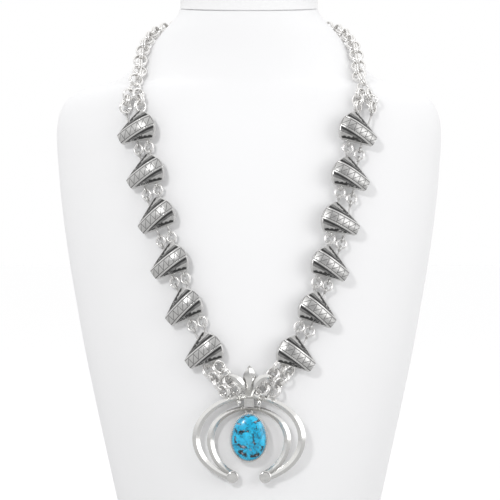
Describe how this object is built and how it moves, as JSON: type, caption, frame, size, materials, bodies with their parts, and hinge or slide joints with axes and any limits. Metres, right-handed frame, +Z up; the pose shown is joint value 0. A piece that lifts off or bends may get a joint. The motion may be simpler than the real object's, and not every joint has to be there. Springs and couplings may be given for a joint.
{
  "type": "squash blossom necklace on neck bust",
  "caption": "Silver squash blossom necklace of hollow stamped blossoms on linked chain, with a crescent naja and turquoise drop, laid on a plain white neck display bust.",
  "frame": {"origin": "middle of the bust's base, on the surface that it stands on", "axes": "+Z up, -Y out of the front where the blossoms and naja lie, +X towards the right side of someone who looks at the front"},
  "size_m": [0.2496, 0.1389, 0.3749],
  "materials": {
    "bust_white": "matt white display coating",
    "silver": "bright silver with darkened recesses",
    "turquoise": "polished sky blue turquoise with dark matrix"
  },
  "bodies": {
    "root": {"neck_bust": "bust_white", "clasp": "silver", "naja": "silver", "drop_cup": "silver", "turquoise": "turquoise", "drop_ring": "silver", "left_fork_ring": "silver", "left_neck_chain": "silver", "left_inner_top_chain": "silver", "left_inner_naja_chain": "silver", "left_inner_ring_1": "silver", "left_inner_ring_2": "silver", "left_inner_ring_3": "silver", "left_inner_ring_4": "silver", "left_inner_ring_5": "silver", "left_outer_top_chain": "silver", "left_outer_naja_chain": "silver", "left_outer_ring_1": "silver", "left_outer_ring_2": "silver", "left_outer_ring_3": "silver", "left_outer_ring_4": "silver", "left_outer_ring_5": "silver", "left_blossom_1": "silver", "left_blossom_2": "silver", "left_blossom_3": "silver", "left_blossom_4": "silver", "left_blossom_5": "silver", "left_blossom_6": "silver", "right_fork_ring": "silver", "right_neck_chain": "silver", "right_inner_top_chain": "silver", "right_inner_naja_chain": "silver", "right_inner_ring_1": "silver", "right_inner_ring_2": "silver", "right_inner_ring_3": "silver", "right_inner_ring_4": "silver", "right_inner_ring_5": "silver", "right_outer_top_chain": "silver", "right_outer_naja_chain": "silver", "right_outer_ring_1": "silver", "right_outer_ring_2": "silver", "right_outer_ring_3": "silver", "right_outer_ring_4": "silver", "right_outer_ring_5": "silver", "right_blossom_1": "silver", "right_blossom_2": "silver", "right_blossom_3": "silver", "right_blossom_4": "silver", "right_blossom_5": "silver", "right_blossom_6": "silver"}
  },
  "joints": []
}
